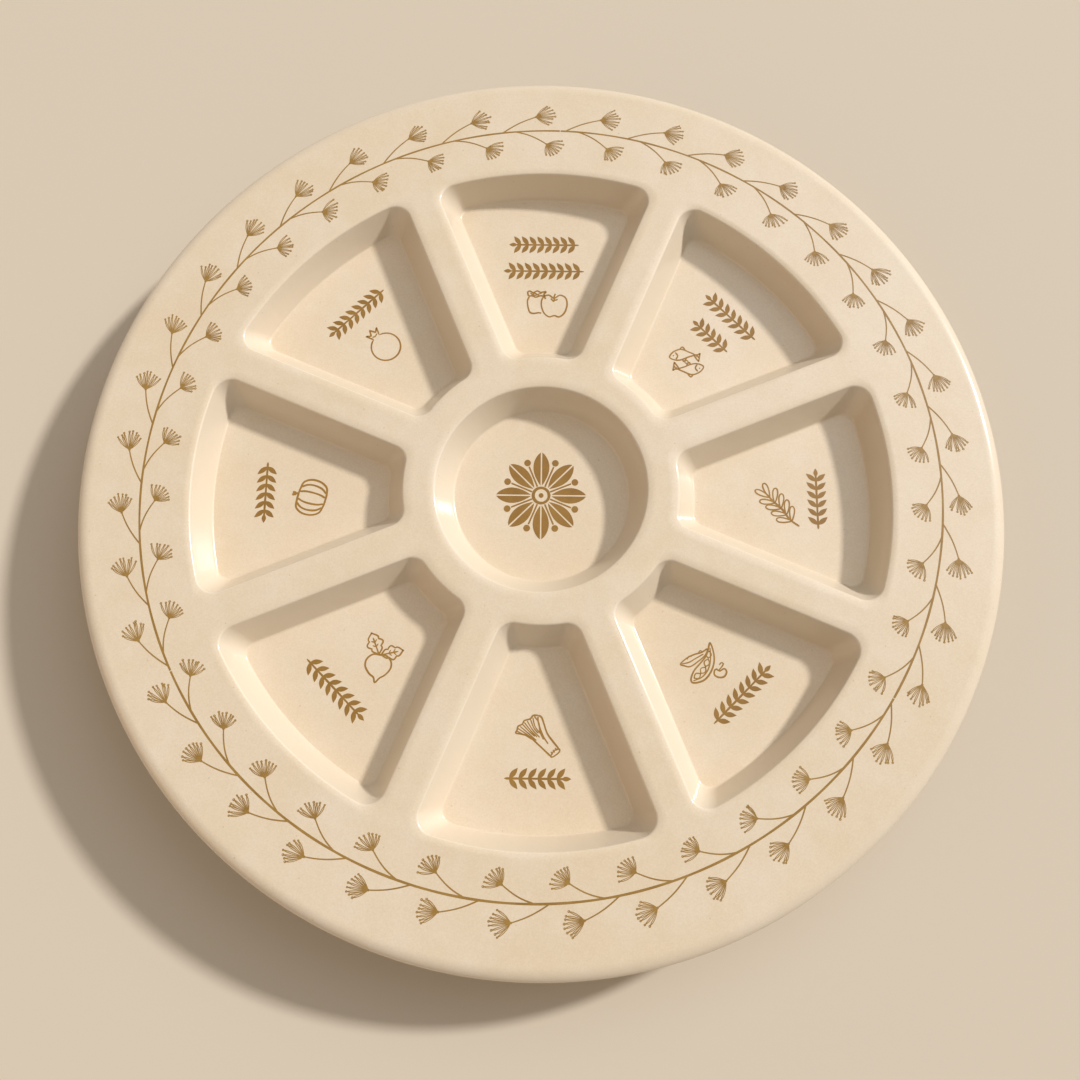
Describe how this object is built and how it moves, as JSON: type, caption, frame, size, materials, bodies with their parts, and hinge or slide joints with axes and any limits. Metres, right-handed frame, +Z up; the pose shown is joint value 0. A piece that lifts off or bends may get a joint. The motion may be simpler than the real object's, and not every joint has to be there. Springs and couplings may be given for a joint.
{
  "type": "ceremonial serving plate",
  "caption": "Round glazed ceramic plate on a foot ring, with wedge-shaped wells set round a round centre well, a printed vine on the rim and a printed food picture in each wedge well.",
  "frame": {"origin": "on the table under the plate's centre", "axes": "+Z up through the plate's centre, +Y towards the far well with the apple and honey, +X to the right of it seen from above"},
  "size_m": [0.33, 0.33, 0.0322],
  "materials": {
    "cream_glaze": "satin cream glaze, faintly mottled and speckled",
    "fired_print": "ochre brown print fired into the glaze"
  },
  "bodies": {
    "root": {"plate_body": "cream_glaze", "rim_vine_print_1": "fired_print", "rim_vine_print_2": "fired_print", "rim_vine_print_3": "fired_print", "centre_rosette_print": "fired_print", "apple_honey_pictogram": "fired_print", "apple_honey_garland_1": "fired_print", "apple_honey_garland_2": "fired_print", "fish_pictogram": "fired_print", "fish_garland_1": "fired_print", "fish_garland_2": "fired_print", "date_pictogram": "fired_print", "date_garland_1": "fired_print", "bean_pictogram": "fired_print", "bean_garland_1": "fired_print", "leek_pictogram": "fired_print", "leek_garland_1": "fired_print", "beet_pictogram": "fired_print", "beet_garland_1": "fired_print", "gourd_pictogram": "fired_print", "gourd_garland_1": "fired_print", "pomegranate_pictogram": "fired_print", "pomegranate_garland_1": "fired_print"}
  },
  "joints": []
}
